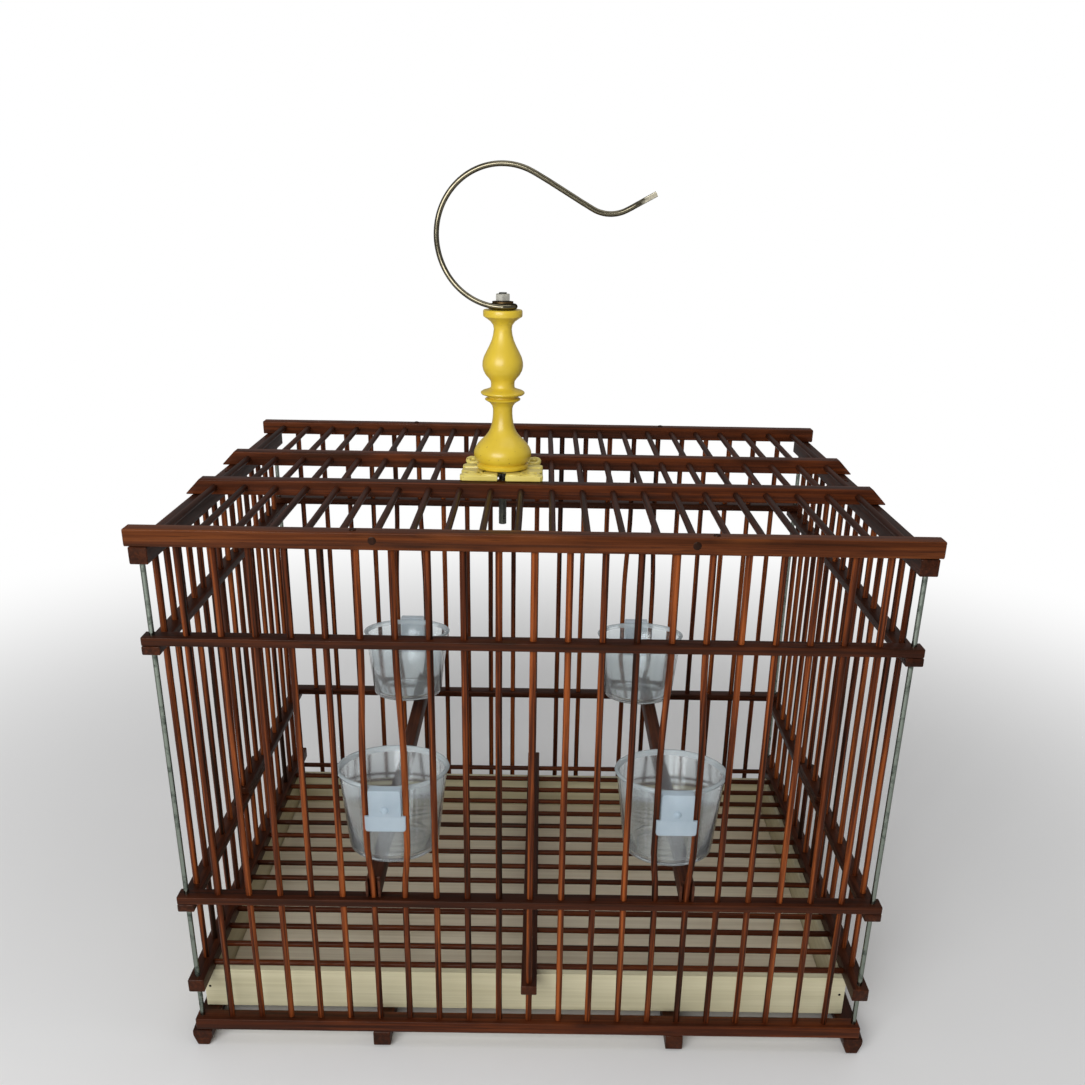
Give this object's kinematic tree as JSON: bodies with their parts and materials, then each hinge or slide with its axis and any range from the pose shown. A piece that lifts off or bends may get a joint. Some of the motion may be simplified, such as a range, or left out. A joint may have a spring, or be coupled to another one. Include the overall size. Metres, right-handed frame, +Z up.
{
  "type": "bird breeding cage",
  "caption": "Wooden wire-style canary breeding cage with lift-up side doors, pull-out tray, perches, clip-on feeder cups and a swivelling carrying hook.",
  "frame": {"origin": "centre of the overall box at the level of the feet's undersides", "axes": "+X to the right along the front, +Y to the back, +Z up"},
  "size_m": [0.435, 0.3148, 0.5265],
  "materials": {
    "varnished_wood": "glossy red-brown varnish",
    "tray_wood": "matt pale wash",
    "yellow_wood": "yellow lacquer",
    "rod_steel": "drawn wire",
    "bright_steel": "bright plated",
    "clear_plastic": "clear",
    "milky_plastic": "milky translucent"
  },
  "bodies": {
    "cage": {"front_bottom_rail_and_bars": "varnished_wood", "front_lower_rail": "varnished_wood", "front_upper_rail": "varnished_wood", "back_bottom_rail_and_bars": "varnished_wood", "back_lower_rail": "varnished_wood", "back_upper_rail": "varnished_wood", "left_floor_rail_and_bars": "varnished_wood", "left_lower_rail": "varnished_wood", "left_upper_rail": "varnished_wood", "left_top_rail": "varnished_wood", "right_floor_rail_and_bars": "varnished_wood", "right_lower_rail": "varnished_wood", "right_upper_rail": "varnished_wood", "right_top_rail": "varnished_wood", "front_top_rail_and_top_bars": "varnished_wood", "back_top_rail": "varnished_wood", "front_beam": "varnished_wood", "back_beam": "varnished_wood", "floor_joist_and_bars": "varnished_wood", "left_foot_rail": "varnished_wood", "right_foot_rail": "varnished_wood", "left_cross_rail": "varnished_wood", "right_cross_rail": "varnished_wood", "front_left_rod": "rod_steel", "back_left_rod": "rod_steel", "front_right_rod": "rod_steel", "back_right_rod": "rod_steel", "finial_base": "yellow_wood", "finial_column": "yellow_wood", "threaded_rod": "bright_steel", "rod_washer": "bright_steel", "eye_washer": "bright_steel", "rod_nut": "bright_steel", "cap_nut": "bright_steel"},
    "left_door": {"left_door": "varnished_wood"},
    "right_door": {"right_door": "varnished_wood"},
    "tray": {"tray_front_board": "tray_wood", "tray_back_board": "tray_wood", "tray_left_board": "tray_wood", "tray_right_board": "tray_wood", "tray_floor_board": "tray_wood"},
    "left_perch": {"left_perch": "varnished_wood"},
    "right_perch": {"right_perch": "varnished_wood"},
    "hook": {"hook": "bright_steel"},
    "front_left_cup": {"front_left_cup": "clear_plastic", "front_left_cup_clip": "milky_plastic"},
    "front_right_cup": {"front_right_cup": "clear_plastic", "front_right_cup_clip": "milky_plastic"},
    "back_left_cup": {"back_left_cup": "clear_plastic", "back_left_cup_clip": "milky_plastic"},
    "back_right_cup": {"back_right_cup": "clear_plastic", "back_right_cup_clip": "milky_plastic"}
  },
  "joints": [
    {"name": "tray_slide", "type": "slide", "parent": "cage", "child": "tray", "axis": [1, 0, 0], "range_m": [0, 0.39]},
    {"name": "hook_swivel", "type": "hinge", "parent": "cage", "child": "hook", "pos_m": [-0.022, -0.017, 0.449], "axis": [0, 0, 1], "continuous": true},
    {"name": "left_door_lift", "type": "slide", "parent": "cage", "child": "left_door", "axis": [0, 0, 1], "range_m": [0, 0.155]},
    {"name": "right_door_lift", "type": "slide", "parent": "cage", "child": "right_door", "axis": [0, 0, 1], "range_m": [0, 0.155]},
    {"name": "left_perch_lift", "type": "slide", "parent": "cage", "child": "left_perch", "axis": [0, 0, 1], "range_m": [0, 0.001]},
    {"name": "right_perch_lift", "type": "slide", "parent": "cage", "child": "right_perch", "axis": [0, 0, 1], "range_m": [0, 0.001]},
    {"name": "front_left_cup_slide", "type": "slide", "parent": "cage", "child": "front_left_cup", "axis": [0, 0, 1], "range_m": [0, 0.008]},
    {"name": "front_right_cup_slide", "type": "slide", "parent": "cage", "child": "front_right_cup", "axis": [0, 0, 1], "range_m": [0, 0.008]},
    {"name": "back_left_cup_slide", "type": "slide", "parent": "cage", "child": "back_left_cup", "axis": [0, 0, 1], "range_m": [0, 0.008]},
    {"name": "back_right_cup_slide", "type": "slide", "parent": "cage", "child": "back_right_cup", "axis": [0, 0, 1], "range_m": [0, 0.008]}
  ]
}
